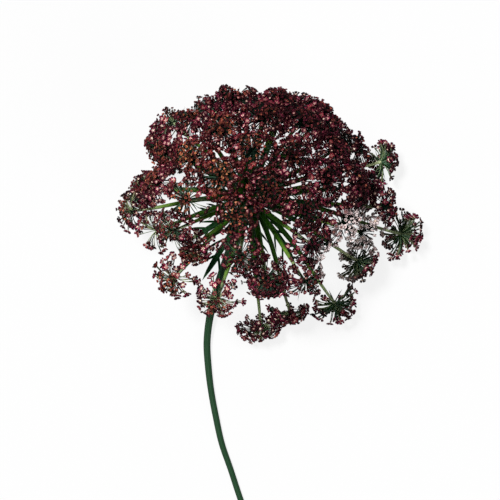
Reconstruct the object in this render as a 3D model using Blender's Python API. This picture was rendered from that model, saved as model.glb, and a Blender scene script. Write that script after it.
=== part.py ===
"""Queen Anne's lace, dark form: one flower head on its cut stem, lying face up on a table.

The head is a compound umbel. Its rays fan out from a domed receptacle on top of the stem, and
each ray carries an umbellet, a small cushion of florets. Narrow, cut bracts stand in a whorl
under the rays. Each umbellet is one solid here, grown in one with its ray.

Metres, +Z up from the table. The stem runs towards -Y, and the clock angles below are seen from
above, counted from +X towards +Y. The origin is the middle of the flower's box, on the table.
"""

import math

import bpy
import numpy as np

MM = 0.001

# Receptacle: a dome on top of the stem, and the point that every ray fans out from
HUB = np.array([-8.0, 52.4, 36.0]) * MM
HUB_RADIUS = 4.8 * MM
HEAD_LEAN = math.radians(25)  # the head's axis, from straight up
HEAD_CLOCK = math.radians(80)  # the way it leans, away from the stem
SEAT_GAP = 0.3 * MM  # left between a piece and what it grows on

# Stem: from the cut end on the table up to the receptacle, as x, y, z and radius
STEM_ROUTE = (
    (6.5, -151.0, 1.25, 1.25),
    (2.0, -140.0, 1.25, 1.25),
    (-3.4, -127.0, 1.3, 1.3),
    (-8.2, -112.6, 1.3, 1.3),
    (-11.9, -101.8, 1.35, 1.35),
    (-14.3, -91.0, 1.4, 1.4),
    (-16.3, -80.2, 1.4, 1.4),
    (-17.6, -69.4, 1.55, 1.5),
    (-18.1, -58.5, 2.3, 1.55),
    (-16.6, -47.0, 4.9, 1.65),
    (-13.6, -36.5, 9.0, 1.85),
    (-9.9, -26.0, 15.2, 2.05),
    (-5.6, -15.0, 22.8, 2.2),
)
STEM_SIDES = 12

# Rim umbellets, as clock angle and reach of the ray's tip from the receptacle in plan, its height
# above the table (None where the umbellet's edge rests on it), the lean of its face from straight
# up, and its radius. They stand in two uneven tiers, and the lower ones droop.
RESTS = None
RIM = (
    (185, 47.5, 28, 62, 8.4),
    (173, 44, RESTS, 88, 8.8),
    (198, 39, 42, 45, 8.4),
    (220, 29, 52, 36, 8.2),
    (226, 43, 44, 45, 8.6),
    (252, 41, 47, 40, 8.8),
    (275, 51.5, RESTS, 118, 9.6),
    (290, 48, 18, 108, 8.2),
    (310, 55, RESTS, 118, 9.0),
    (331, 50, 20, 112, 9.0),
    (348, 64, RESTS, 115, 9.2),
    (357, 53, 34, 78, 8.8),
    (17, 57, RESTS, 110, 8.6),
    (6, 47, 26, 95, 8.4),
    (27, 47, 23, 86, 8.6),
    (42, 45, RESTS, 100, 8.8),
    (58, 44, 22, 92, 8.6),
    (70, 42, RESTS, 100, 8.8),
    (92, 40, RESTS, 100, 8.8),
    (82, 37, 25, 82, 8.4),
    (111, 39, 24, 85, 8.8),
    (134, 45.5, RESTS, 112, 8.8),
    (148, 43, 26, 82, 8.8),
    (344, 46, 34, 72, 8.4),
    (282, 34.5, 31, 80, 8.2),
)

# Crown umbellets, as clock angle and reach in plan. They stand side by side over a dome.
CROWN = (
    (250, 3),
    (264, 20),
    (22, 9),
    (143, 13),
    (87, 17),
    (47, 21),
    (354, 20),
    (22, 26),
    (143, 26),
    (179, 23),
    (105, 26),
    (77, 28),
    (54, 30),
    (34, 35),
    (12, 37),
    (349, 36),
    (327, 28),
    (308, 35),
    (278, 29),
    (196, 29),
    (172, 32),
    (147, 34),
    (122, 34),
    (43, 38),
    (67, 38),
    (96, 34.5),
)
CROWN_REACH = 44 * MM  # ray length
CROWN_UNEVEN = 1.5 * MM  # how much the ray lengths differ

# Umbellet: radius, and the profile of its cushion of florets as shares of that radius
CROWN_UMBELLET = (8.0 * MM, 8.6 * MM)  # radius in the middle of the crown and at its edge
CUSHION = (  # height above the ray's tip, radius
    (0.03, 0.45),
    (0.07, 0.90),
    (0.18, 1.00),
    (0.36, 0.93),
    (0.54, 0.74),
    (0.69, 0.44),
    (0.76, 0.00),
)
UMBELLET_SIDES = 8
RAY_RADIUS = (0.68 * MM, 0.74 * MM)  # at the receptacle and at the tip
RAY_RINGS = 5
RAY_BEND = 0.36  # share of the ray's length over which each end holds its direction
SEAT_SPREAD = 0.76  # how much closer together the rays stand on the receptacle than at their tips
SEAT_LIMIT = math.radians(95)  # how far round from the head's axis the rays stand
SEAT_PITCH = 1.7 * MM

# Bracts, as clock angle, length, and how far each droops from its seat to its tip
BRACTS = (
    (12, 24, 20),
    (62, 24, 6),
    (122, 26, 0),
    (181, 23, 12),
    (208, 26, -6),
    (237, 33, 0),
    (282, 28, 24),
    (318, 30, 14),
)
BRACT_SEAT = math.radians(118)  # from the head's axis, just under the rays
BRACT_WIDTH = 1.9 * MM
BRACT_THICKNESS = 0.6 * MM
LOBE_LENGTH = 0.34  # share of the bract's length
LOBE_SPREAD = math.radians(32)


# --- plan of the head -------------------------------------------------------------------------


def unit(vectors):
    return vectors / np.linalg.norm(vectors, axis=-1, keepdims=True)


def clock_direction(clock, lean):
    """Unit vector that leans by the angle lean from straight up, towards the clock angle."""
    return np.array(
        [math.sin(lean) * math.cos(clock), math.sin(lean) * math.sin(clock), math.cos(lean)]
    )


HEAD_AXIS = clock_direction(HEAD_CLOCK, HEAD_LEAN)
HEAD_SIDE = unit(np.cross(HEAD_AXIS, [0.0, 0.0, 1.0]))
HEAD_BACK = np.cross(HEAD_AXIS, HEAD_SIDE)


def about_head(turn, polar):
    """Unit vector at the polar angle from the head's axis, turned round it from HEAD_SIDE."""
    across = math.cos(turn) * HEAD_SIDE + math.sin(turn) * HEAD_BACK
    return math.cos(polar) * HEAD_AXIS + math.sin(polar) * across


def resting_height(face, radius):
    """Height of a ray's tip at which the umbellet's edge just meets the table."""
    upright, level = face[2], math.hypot(face[0], face[1])
    lowest = min(share * upright - width * level for share, width in CUSHION)
    return -lowest * radius


def rim_umbellets():
    """Tips, faces and radii of the hand-placed rim, relative to the receptacle's centre."""
    rows = []
    for clock, reach, height, lean, radius in RIM:
        turn, reach, radius = math.radians(clock), reach * MM, radius * MM
        face = clock_direction(turn, math.radians(lean))
        z = resting_height(face, radius) if height is RESTS else height * MM
        tip = np.array([reach * math.cos(turn), reach * math.sin(turn), z - HUB[2]])
        rows.append((tip, face, radius))
    return rows


def crown_umbellets(rim):
    """Tips, faces and radii of the crown. They start at their places on the dome, then push each
    other, and are pushed by the rim's, until all stand clear."""
    step = np.arange(len(CROWN))
    turn, reach = np.radians([row[0] for row in CROWN]), np.array([row[1] for row in CROWN]) * MM
    rise = np.sqrt(CROWN_REACH**2 - reach**2)
    ways = unit(np.stack([reach * np.cos(turn), reach * np.sin(turn), rise], axis=1))
    share = reach / reach.max()
    radii = CROWN_UMBELLET[0] + share * (CROWN_UMBELLET[1] - CROWN_UMBELLET[0])
    lengths = CROWN_REACH + CROWN_UNEVEN * np.sin(2.3 * step)
    rim_middles = np.array([tip + 0.35 * radius * face for tip, face, radius in rim])
    rim_radii = np.array([radius for _, _, radius in rim])
    for _ in range(200):
        middles = ways * (lengths + 0.35 * radii)[:, None]
        others = np.vstack([middles, rim_middles])
        clear = radii[:, None] + np.concatenate([radii, rim_radii])[None, :]
        apart = middles[:, None, :] - others[None, :, :]
        distance = np.linalg.norm(apart, axis=2)
        bite = np.clip(clear - distance, 0, None)
        bite[step, step] = 0
        push = (apart / np.maximum(distance, 1e-9)[..., None] * bite[..., None]).sum(axis=1)
        ways = unit(middles + 0.3 * push)
    return [(way * length, way, radius) for way, length, radius in zip(ways, lengths, radii)]


def ray_seats(tips):
    """Unit vectors to each ray's seat on the receptacle: the fan of the tips, drawn in towards the
    head's axis, then pushed apart to about SEAT_PITCH."""
    ways = unit(tips)
    polar = np.arccos(np.clip(ways @ HEAD_AXIS, -1, 1))
    across = unit(ways - np.cos(polar)[:, None] * HEAD_AXIS)
    drawn = np.minimum(SEAT_SPREAD * polar, SEAT_LIMIT)[:, None]
    seats = np.cos(drawn) * HEAD_AXIS + np.sin(drawn) * across
    pitch = SEAT_PITCH / HUB_RADIUS
    for _ in range(200):
        apart = seats[:, None, :] - seats[None, :, :]
        distance = np.linalg.norm(apart, axis=2) + np.eye(len(seats))
        bite = np.clip(pitch - distance, 0, None)
        push = (apart / distance[..., None] * bite[..., None]).sum(axis=1)
        seats = unit(seats + 0.3 * push)
    return seats


def bezier(start, first, second, end, steps):
    """Points along the cubic curve of these four points."""
    t = np.linspace(0, 1, steps)[:, None]
    return (
        (1 - t) ** 3 * start
        + 3 * (1 - t) ** 2 * t * first
        + 3 * (1 - t) * t**2 * second
        + t**3 * end
    )


# --- skins ------------------------------------------------------------------------------------


def smooth_route(points, steps):
    """Catmull-Rom curve through the points, with this many steps between each two."""
    points = np.array(points)
    ends = np.vstack([2 * points[0] - points[1], points, 2 * points[-1] - points[-2]])
    t = np.linspace(0, 1, steps, endpoint=False)[:, None]
    spans = []
    for a, b, c, d in zip(ends, ends[1:], ends[2:], ends[3:]):
        spans.append(
            b + 0.5 * t * (c - a + t * (2 * a - 5 * b + 4 * c - d + t * (3 * (b - c) + d - a)))
        )
    return np.vstack([*spans, points[-1:]])


def carried_frames(centres):
    """A pair of unit vectors square to the path at each centre, carried along it without twist."""
    ahead = unit(np.gradient(centres, axis=0))
    side = unit(np.cross(ahead[0], [0.31, 0.2, 0.93]))
    pairs = []
    for forward in ahead:
        side = unit(side - (side @ forward) * forward)
        pairs.append((side, np.cross(forward, side)))
    return pairs


def ringed_skin(name, centres, radii, sides):
    """Closed mesh of round rings on the centres. A first ring gets a flat cap, and a ring of no
    radius at the end is a single point."""
    angles = np.arange(sides) * 2 * math.pi / sides
    verts, faces = [], []
    for centre, radius, (side, other) in zip(centres, radii, carried_frames(centres)):
        if radius == 0:
            verts.append(centre)
            continue
        verts.extend(centre + radius * (math.cos(a) * side + math.sin(a) * other) for a in angles)
    faces.append(tuple(reversed(range(sides))))
    for ring in range(len(centres) - 1):
        low, high = ring * sides, (ring + 1) * sides
        pointed = radii[ring + 1] == 0
        for k in range(sides):
            n = (k + 1) % sides
            faces.append(
                (low + k, low + n, high) if pointed else (low + k, low + n, high + n, high + k)
            )
    mesh = bpy.data.meshes.new(name)
    mesh.from_pydata([tuple(v) for v in verts], [], faces)
    mesh.validate()
    return mesh


def material(name, colour, roughness):
    made = bpy.data.materials.new(name)
    made.use_nodes = True
    shader = made.node_tree.nodes["Principled BSDF"]
    shader.inputs["Base Color"].default_value = (*colour, 1)
    shader.inputs["Roughness"].default_value = roughness
    return made


def placed(name, mesh, parent, at, finish):
    """A named object of the mesh, standing at the point `at` of its parent."""
    made = bpy.data.objects.new(name, mesh)
    bpy.context.scene.collection.objects.link(made)
    made.parent = parent
    made.location = at
    mesh.materials.append(finish)
    mesh.shade_smooth()
    mesh.set_sharp_from_angle(angle=math.radians(50))
    return made


# --- pieces -----------------------------------------------------------------------------------


def make_stem(flower, finish):
    """The stalk and the receptacle that it widens into, as one skin: a curve through the route,
    a short flare, and the dome's rings about the head's axis."""
    route = [(x, y, z, r) for x, y, z, r in STEM_ROUTE]
    stalk = smooth_route(route, 2)
    centres = stalk[:, :3] * MM + [HUB[0], HUB[1], 0]
    radii = stalk[:, 3] * MM
    dome_angles = np.radians([-55, -25, 0, 25, 50, 72])
    dome = HUB + np.sin(dome_angles)[:, None] * HUB_RADIUS * HEAD_AXIS
    tip = HUB + HUB_RADIUS * HEAD_AXIS
    neck = HUB - 1.9 * HUB_RADIUS * HEAD_AXIS
    centres = np.vstack([centres, neck, dome, tip])
    radii = np.concatenate([radii, [2.4 * MM], np.cos(dome_angles) * HUB_RADIUS, [0]])
    mesh = ringed_skin("stem", centres, radii, STEM_SIDES)
    return placed("stem", mesh, flower, (0, 0, 0), finish)


def make_umbellet(number, seat, tip, face, radius, flower, finish):
    """One ray and its cushion of florets: the ray's rings, then the cushion's about its face."""
    foot = seat * (HUB_RADIUS + SEAT_GAP)
    length = np.linalg.norm(tip - foot)
    hold = RAY_BEND * length
    ray = bezier(foot, foot + hold * seat, tip - hold * face, tip, RAY_RINGS)
    cushion = [tip + share * radius * face for share, _ in CUSHION]
    centres = np.vstack([ray, cushion]) - foot
    radii = [*np.linspace(*RAY_RADIUS, RAY_RINGS), *(width * radius for _, width in CUSHION)]
    name = f"umbellet_{number:02d}"
    mesh = ringed_skin(name, centres, radii, UMBELLET_SIDES)
    return placed(name, mesh, flower, HUB + foot, finish)


def make_bract(number, clock, length, droop, flower, finish):
    """A narrow blade with two pairs of side lobes, flat strips given their thickness by Solidify.
    It leaves the receptacle's underside at a right angle, and turns down along its length."""
    length, droop = length * MM, math.radians(droop)
    turn = math.radians(clock) - HEAD_CLOCK + math.pi / 2
    side = np.cross(HEAD_AXIS, about_head(turn, math.pi / 2))
    foot = (HUB_RADIUS + SEAT_GAP) * about_head(turn, BRACT_SEAT)

    def point(along, across):
        ahead = about_head(turn, BRACT_SEAT + droop * along / length)
        return foot + along * ahead + across * side

    stations = np.array([0.0, 0.25, 0.36, 0.5, 0.6, 0.8, 1.0]) * length
    widths = np.array([0.9, 1.0, 1.0, 0.9, 0.85, 0.6, 0.12]) * BRACT_WIDTH / 2
    verts = [point(s, sign * w) for s, w in zip(stations, widths) for sign in (-1, 1)]
    faces = [(2 * k, 2 * k + 2, 2 * k + 3, 2 * k + 1) for k in range(len(stations) - 1)]
    for base in (1, 3):
        for sign, edge in ((-1, 0), (1, 1)):
            near, far = 2 * base + edge, 2 * base + 2 + edge
            middle = (stations[base] + stations[base + 1]) / 2
            reach = LOBE_LENGTH * length
            along, across = reach * math.cos(LOBE_SPREAD), reach * math.sin(LOBE_SPREAD)
            start = len(verts)
            half = 0.28 * (stations[base + 1] - stations[base])
            for share, taper in ((0.5, 1.0), (1.0, 0.15)):
                s, w = middle + share * along, sign * (widths[base] + share * across)
                verts.append(point(s - taper * half, w))
                verts.append(point(s + taper * half, w))
            loops = ((near, far, start + 1, start), (start, start + 1, start + 3, start + 2))
            faces.extend(loop if sign > 0 else tuple(reversed(loop)) for loop in loops)
    name = f"bract_{number:02d}"
    mesh = bpy.data.meshes.new(name)
    mesh.from_pydata([tuple(v - foot) for v in verts], [], faces)
    made = placed(name, mesh, flower, HUB + foot, finish)
    plate = made.modifiers.new("thickness", "SOLIDIFY")
    plate.thickness = BRACT_THICKNESS
    plate.offset = 0
    return made


def main():
    for old in list(bpy.data.objects):
        bpy.data.objects.remove(old)
    flower = bpy.data.objects.new("flower", None)
    bpy.context.scene.collection.objects.link(flower)
    stalk_green = material("stalk_green", (0.03, 0.10, 0.04), 0.5)
    bract_green = material("bract_green", (0.02, 0.07, 0.02), 0.55)
    floret_wine = material("floret_wine", (0.16, 0.02, 0.04), 0.6)

    make_stem(flower, stalk_green)
    rim = rim_umbellets()
    umbellets = rim + crown_umbellets(rim)
    seats = ray_seats(np.array([tip for tip, _, _ in umbellets]))
    for number, (seat, (tip, face, radius)) in enumerate(zip(seats, umbellets), 1):
        make_umbellet(number, seat, tip, face, radius, flower, floret_wine)
    for number, (clock, length, droop) in enumerate(BRACTS, 1):
        make_bract(number, clock, length, droop, flower, bract_green)


main()
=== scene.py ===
# %% [markdown]
# # Queen Anne's lace, dark form
#
# One cut flower, lying face up on a table. Its head is a compound umbel: about fifty rays fan
# out from the top of the stem, and each ray carries an umbellet, a tuft of thin stalks with a
# tiny five-petalled floret on each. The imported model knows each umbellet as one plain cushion
# on its ray. Here the real tuft is grown in that cushion's place.
#
# The frame comes first, with the box that everything has to stay in.

# %% Load the frame
import math
import bpy
import numpy as np
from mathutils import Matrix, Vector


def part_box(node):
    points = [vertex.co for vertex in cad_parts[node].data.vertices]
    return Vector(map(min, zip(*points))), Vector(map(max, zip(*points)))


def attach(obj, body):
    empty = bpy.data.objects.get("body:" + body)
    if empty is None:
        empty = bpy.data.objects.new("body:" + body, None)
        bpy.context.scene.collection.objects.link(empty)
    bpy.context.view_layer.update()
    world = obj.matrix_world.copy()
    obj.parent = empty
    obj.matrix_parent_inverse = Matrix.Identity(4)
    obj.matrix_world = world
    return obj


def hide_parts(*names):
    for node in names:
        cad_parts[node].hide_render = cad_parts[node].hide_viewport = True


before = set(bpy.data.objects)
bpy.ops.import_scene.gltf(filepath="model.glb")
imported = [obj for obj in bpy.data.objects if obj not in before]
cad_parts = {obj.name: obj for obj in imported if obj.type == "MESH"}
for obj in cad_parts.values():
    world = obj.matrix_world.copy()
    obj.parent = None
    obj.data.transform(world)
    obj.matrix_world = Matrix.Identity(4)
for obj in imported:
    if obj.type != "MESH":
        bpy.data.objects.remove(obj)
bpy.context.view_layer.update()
MM = 0.001
print("packed nodes:", len(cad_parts))

# %% [markdown]
# ## Where everything grows
#
# The plan of the head is worked out from a few real measures, so that the fine pieces land
# exactly where the imported ones are. A clock angle is seen from above, from +X towards +Y. The
# rim's umbellets are placed one by one, since each shows on the outline, and the lower ones rest on
# the table. The crown's are placed roughly on a dome, and then push each other apart until all
# stand clear, the way crowded umbellets really share their room.

# %% Measures of the head
HUB = np.array([-8.0, 52.4, 36.0]) * MM  # the middle of the receptacle
HUB_RADIUS = 4.8 * MM
HEAD_LEAN = math.radians(25)  # how far the head's axis leans, and which way
HEAD_CLOCK = math.radians(80)
SEAT_GAP = 0.3 * MM
RESTS = None  # in the place of a height: so low that it lies on the table

RIM = (  # clock angle, reach, height, lean of the face from straight up, radius; in degrees and mm
    (185, 47.5, 28, 62, 8.4),
    (173, 44, RESTS, 88, 8.8),
    (198, 39, 42, 45, 8.4),
    (220, 29, 52, 36, 8.2),
    (226, 43, 44, 45, 8.6),
    (252, 41, 47, 40, 8.8),
    (275, 51.5, RESTS, 118, 9.6),
    (290, 48, 18, 108, 8.2),
    (310, 55, RESTS, 118, 9.0),
    (331, 50, 20, 112, 9.0),
    (348, 64, RESTS, 115, 9.2),
    (357, 53, 34, 78, 8.8),
    (17, 57, RESTS, 110, 8.6),
    (6, 47, 26, 95, 8.4),
    (27, 47, 23, 86, 8.6),
    (42, 45, RESTS, 100, 8.8),
    (58, 44, 22, 92, 8.6),
    (70, 42, RESTS, 100, 8.8),
    (92, 40, RESTS, 100, 8.8),
    (82, 37, 25, 82, 8.4),
    (111, 39, 24, 85, 8.8),
    (134, 45.5, RESTS, 112, 8.8),
    (148, 43, 26, 82, 8.8),
    (344, 46, 34, 72, 8.4),
    (282, 34.5, 31, 80, 8.2),
)
CROWN = (  # clock angle, reach
    (250, 3), (264, 20), (22, 9), (143, 13), (87, 17), (47, 21), (354, 20), (22, 26), (143, 26),
    (179, 23), (105, 26), (77, 28), (54, 30), (34, 35), (12, 37), (349, 36), (327, 28), (308, 35),
    (278, 29), (196, 29), (172, 32), (147, 34), (122, 34), (43, 38), (67, 38), (96, 34.5),
)
CROWN_REACH = 44 * MM  # length of the crown's rays, give or take the next line in a wave
CROWN_UNEVEN, CROWN_WAVE = 1.5 * MM, 2.3
CROWN_UMBELLET = (8.0 * MM, 8.6 * MM)  # radius in the middle and at the edge
CUSHION = np.array([  # height above the ray's tip and radius, as shares of the umbellet's radius
    [0.03, 0.45], [0.07, 0.90], [0.18, 1.00], [0.36, 0.93], [0.54, 0.74], [0.69, 0.44], [0.76, 0.0],
])
CUSHION_MIDDLE, CUSHION_TOP = 0.35, CUSHION[-1, 0]
RAY_BEND = 0.36  # how long a ray keeps the directions of its two ends, as a share of its length
SEAT_SPREAD = 0.76  # how far the rays' feet fan out, as a share of the tips' fan
SEAT_LIMIT = math.radians(95)
SEAT_PITCH = 1.7 * MM
PUSH_ROUNDS, PUSH_SHARE = 200, 0.3


# %% Directions about the head
def unit(vectors):
    """Each vector divided by its own length."""
    return vectors / np.linalg.norm(vectors, axis=-1, keepdims=True)


def turns(count):
    """Even steps of a full turn."""
    return np.arange(count) * 2 * math.pi / count


def around(turn, one, two):
    """cos(turn) one + sin(turn) two: one at no turn, and two at a quarter turn."""
    return np.cos(turn)[..., None] * one + np.sin(turn)[..., None] * two


def clock_direction(clock, lean):
    """Leans by the angle lean from straight up, towards the clock angle."""
    x_way, y_way, z_way = np.eye(3)
    return around(lean, z_way, around(clock, x_way, y_way))


HEAD_AXIS = clock_direction(HEAD_CLOCK, HEAD_LEAN)
HEAD_SIDE = unit(np.cross(HEAD_AXIS, [0.0, 0.0, 1.0]))
HEAD_BACK = np.cross(HEAD_AXIS, HEAD_SIDE)


def about_head(turn, polar):
    """At the polar angle from the head's axis, turned about it from the head's side."""
    return around(polar, HEAD_AXIS, around(turn, HEAD_SIDE, HEAD_BACK))


def crowding(places, others, clear):
    """The push on each place: the sum, over the others that are nearer than clear, of the
    direction away from it times what is missing."""
    apart = places[:, None, :] - others[None, :, :]
    distance = np.linalg.norm(apart, axis=2)
    bite = np.where(distance > 0, np.clip(clear - distance, 0, None), 0)
    return (apart / np.maximum(distance, 1e-9)[..., None] * bite[..., None]).sum(axis=1)


print("head's axis:", np.round(HEAD_AXIS, 3))


# %% Tips and faces of the umbellets
def rim_plan():
    """Ray tips from the receptacle's centre, faces and radii of the rim. A resting umbellet's tip
    stands as high as its cushion reaches down: the most of width x level - height x upright."""
    rows = np.array([[np.nan if v is RESTS else v for v in row] for row in RIM], dtype=float)
    clock, reach, height, lean, radius = rows.T
    clock, lean, radius = np.radians(clock), np.radians(lean), radius * MM
    faces = clock_direction(clock, lean)
    upright, level = faces[:, 2], np.hypot(faces[:, 0], faces[:, 1])
    down = np.outer(level, CUSHION[:, 1]) - np.outer(upright, CUSHION[:, 0])
    height = np.where(np.isnan(height), down.max(axis=1) * radius, height * MM)
    level_tips = clock_direction(clock, math.pi / 2) * reach[:, None] * MM
    tips = level_tips + np.outer(height - HUB[2], [0, 0, 1])
    return tips, faces, radius


def crown_plan(rim_tips, rim_faces, rim_radii):
    """Tips, faces and radii of the crown. Each starts over its place on a dome, and moves along
    the sum of its overlaps with the others until there are none left."""
    clock, reach = np.array(CROWN, dtype=float).T
    clock, reach = np.radians(clock), reach * MM
    rise = np.sqrt(CROWN_REACH**2 - reach**2)
    ways = unit(np.stack([reach * np.cos(clock), reach * np.sin(clock), rise], axis=1))
    share = reach / reach.max()
    radii = CROWN_UMBELLET[0] + share * (CROWN_UMBELLET[1] - CROWN_UMBELLET[0])
    lengths = CROWN_REACH + CROWN_UNEVEN * np.sin(CROWN_WAVE * np.arange(len(CROWN)))
    rim_middles = rim_tips + CUSHION_MIDDLE * rim_radii[:, None] * rim_faces
    clear = radii[:, None] + np.concatenate([radii, rim_radii])[None, :]
    for _ in range(PUSH_ROUNDS):
        middles = ways * (lengths + CUSHION_MIDDLE * radii)[:, None]
        push = crowding(middles, np.vstack([middles, rim_middles]), clear)
        ways = unit(middles + PUSH_SHARE * push)
    return ways * lengths[:, None], ways, radii


rim = rim_plan()
crown = crown_plan(*rim)
TIPS, FACES, RADII = (np.concatenate(pair) for pair in zip(rim, crown))
print("umbellets:", len(TIPS), "of radius", np.round([RADII.min() / MM, RADII.max() / MM], 1), "mm")


# %% Seats of the rays on the receptacle
def ray_seats(tips):
    """Directions of the rays' feet: the fan of the tips drawn in towards the head's axis, then
    pushed apart to about the pitch that leaves each ray its own seat."""
    ways = unit(tips)
    polar = np.arccos(np.clip(ways @ HEAD_AXIS, -1, 1))
    across = unit(ways - np.cos(polar)[:, None] * HEAD_AXIS)
    seats = around(np.minimum(SEAT_SPREAD * polar, SEAT_LIMIT), HEAD_AXIS, across)
    for _ in range(PUSH_ROUNDS):
        seats = unit(seats + PUSH_SHARE * crowding(seats, seats, SEAT_PITCH / HUB_RADIUS))
    return seats


SEATS = ray_seats(TIPS)
FEET = SEATS * (HUB_RADIUS + SEAT_GAP)

apexes = HUB + TIPS + CUSHION_TOP * RADII[:, None] * FACES
misses = []
for number, points in enumerate(np.stack([apexes, HUB + FEET], axis=1), 1):
    low, high = (np.array(corner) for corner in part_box(f"umbellet_{number:02d}"))
    misses.append(max((low - points).max(), (points - high).max()))
print("furthest that a ray's foot or an umbellet's top lies outside its node, in mm:",
      round(max(misses) / MM, 3))

# %% [markdown]
# ## One mesh maker for all of it
#
# Stems, stalks, petals, bracts and the florets' middles are all closed skins: rings carried along
# a path, with a point at each end. Modelling thousands of them as objects would be slow, so one
# function joins the rings of any number of skins at once, as whole arrays. The numbers that a
# finish needs, such as how far along its petal a point lies, go in with the points. A skin that is
# wound the wrong way looks right in a render but its faces point inwards. Its volume comes out
# below zero, so every piece's volume is measured as it is made.


# %% Closed skins
def closed_skins(rings, ends):
    """Rings (skins, rings, sides, 3) and end points (skins, 2, 3) as points, quads and triangles.
    Ring r, side k is point r x sides + k of its skin; neighbours make a quad, and each end ring
    fans out to its own end point."""
    skins, count, sides, _ = rings.shape
    points = np.concatenate([rings.reshape(skins, -1, 3), ends], axis=1)
    k, rows, last = np.arange(sides), np.arange(count - 1)[:, None] * sides, (count - 1) * sides
    n, foot = (k + 1) % sides, np.full(sides, count * sides)
    quads = np.stack([rows + k, rows + n, rows + sides + n, rows + sides + k], axis=-1)
    fans = np.array([[n, k, foot], [last + k, last + n, foot + 1]]).swapaxes(1, 2).reshape(-1, 3)
    start = np.arange(skins)[:, None, None] * points.shape[1]
    return (
        points.reshape(-1, 3),
        (quads.reshape(1, -1, 4) + start).reshape(-1, 4),
        (fans[None] + start).reshape(-1, 3),
    )


def ring_values(along, sides):
    """Numbers at each of a path's points (skins, points), in the order of the skins' points."""
    rings = np.repeat(along[:, 1:-1], sides, axis=1)
    return np.concatenate([rings, along[:, [0, -1]]], axis=1).ravel()


def carried(paths, wide, thick, side, sides):
    """Rings about many paths (skins, points, 3): at each point an ellipse square to the path, with
    half-axes wide along `side` and thick across it. The path's two ends become the end points."""
    forward = unit(np.gradient(paths, axis=1))
    across = unit(side - (side * forward).sum(-1, keepdims=True) * forward)
    other, turn = np.cross(forward, across), turns(sides)
    rings = (
        paths[:, :, None]
        + (wide[..., None] * np.cos(turn))[..., None] * across[:, :, None]
        + (thick[..., None] * np.sin(turn))[..., None] * other[:, :, None]
    )
    return rings[:, 1:-1], paths[:, [0, -1]]


def tubes(paths, wide, thick, side, sides, along=None, **per_skin):
    """Closed skins about paths. `along` is a number at each of a path's points, ends included, and
    the others are a number for each skin."""
    points, quads, tris = closed_skins(*carried(paths, wide, thick, side, sides))
    values = {key: np.repeat(each, len(points) // len(paths)) for key, each in per_skin.items()}
    if along is not None:
        values["along"] = ring_values(np.broadcast_to(along, paths.shape[:2]), sides)
    return points, quads, tris, values


def joined(parts):
    """Several (points, quads, triangles, values) as one, with the indices moved on."""
    points, quads, tris, values = zip(*parts)
    starts = np.cumsum([0] + [len(each) for each in points])
    quads = np.concatenate([each + start for each, start in zip(quads, starts)])
    tris = np.concatenate([each + start for each, start in zip(tris, starts)])
    values = {key: np.concatenate([each[key] for each in values]) for key in values[0]}
    return np.concatenate(points), quads, tris, values


def volume_of(points, quads, tris):
    """A sixth of the sum of a . (b x c) over all triangles a, b, c. It is above zero only where the
    faces point outwards."""
    corners = np.concatenate([tris, quads[:, :3], quads[:, [0, 2, 3]]])
    a, b, c = (points[corners[:, k]] for k in range(3))
    return (a * np.cross(b, c)).sum() / 6


volumes = {}


def placed(name, data):
    """A new object, put into the scene."""
    made = bpy.data.objects.new(name, data)
    bpy.context.scene.collection.objects.link(made)
    return made


def piece(name, parts, finish, slot, *nodes):
    """Puts skins into one mesh object with its finish, and has it stand for its nodes."""
    points, quads, tris, values = joined(parts)
    volumes.setdefault(slot, []).append(volume_of(points, quads, tris))
    mesh = bpy.data.meshes.new(name)
    corners = np.concatenate([quads.ravel(), tris.ravel()]).astype(np.int32)
    starts = np.concatenate([np.arange(len(quads)) * 4, len(quads) * 4 + np.arange(len(tris)) * 3])
    mesh.vertices.add(len(points))
    mesh.vertices.foreach_set("co", points.astype(np.float32).ravel())
    mesh.loops.add(len(corners))
    mesh.loops.foreach_set("vertex_index", corners)
    mesh.polygons.add(len(starts))
    mesh.polygons.foreach_set("loop_start", starts.astype(np.int32))
    mesh.update(calc_edges=True)
    for key, numbers in values.items():
        layer = mesh.attributes.new(key, "FLOAT", "POINT")
        layer.data.foreach_set("value", numbers.astype(np.float32))
    mesh.shade_smooth()
    mesh.materials.append(finish)
    made = placed(name, mesh)
    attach(made, "root")
    if nodes:
        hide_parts(*nodes)
    return made


# %% [markdown]
# ## Finishes
#
# Plant skins are never one flat colour. A shared group makes soft blotches from noise, which each
# finish uses in its own size and strength to vary its colour and gloss. Each finish then
# reads numbers that its pieces carry: how far along a petal or a stalk a point lies, which shade
# this floret happens to have, partly painted shade deep in the crown and painted side light at
# the lower left of the head, and how far open it is.


# %% Small helpers for nodes
def fill(tree, node, inputs):
    """Gives inputs their values: a number, a colour (r, g, b), a socket to link to, or the name of
    a number that the piece's points carry."""
    for key, value in inputs.items():
        if isinstance(value, str):
            value = added(tree, "Attribute", attribute_name=value).outputs["Fac"]
        if isinstance(value, bpy.types.NodeSocket):
            tree.links.new(value, node.inputs[key])
        else:
            node.inputs[key].default_value = (*value, 1) if isinstance(value, tuple) else value
    return node


def added(tree, kind, inputs=None, **settings):
    """A new node with these settings and inputs."""
    node = tree.nodes.new("ShaderNode" + kind)
    for key, value in settings.items():
        setattr(node, key, value)
    return fill(tree, node, inputs or {})


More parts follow.
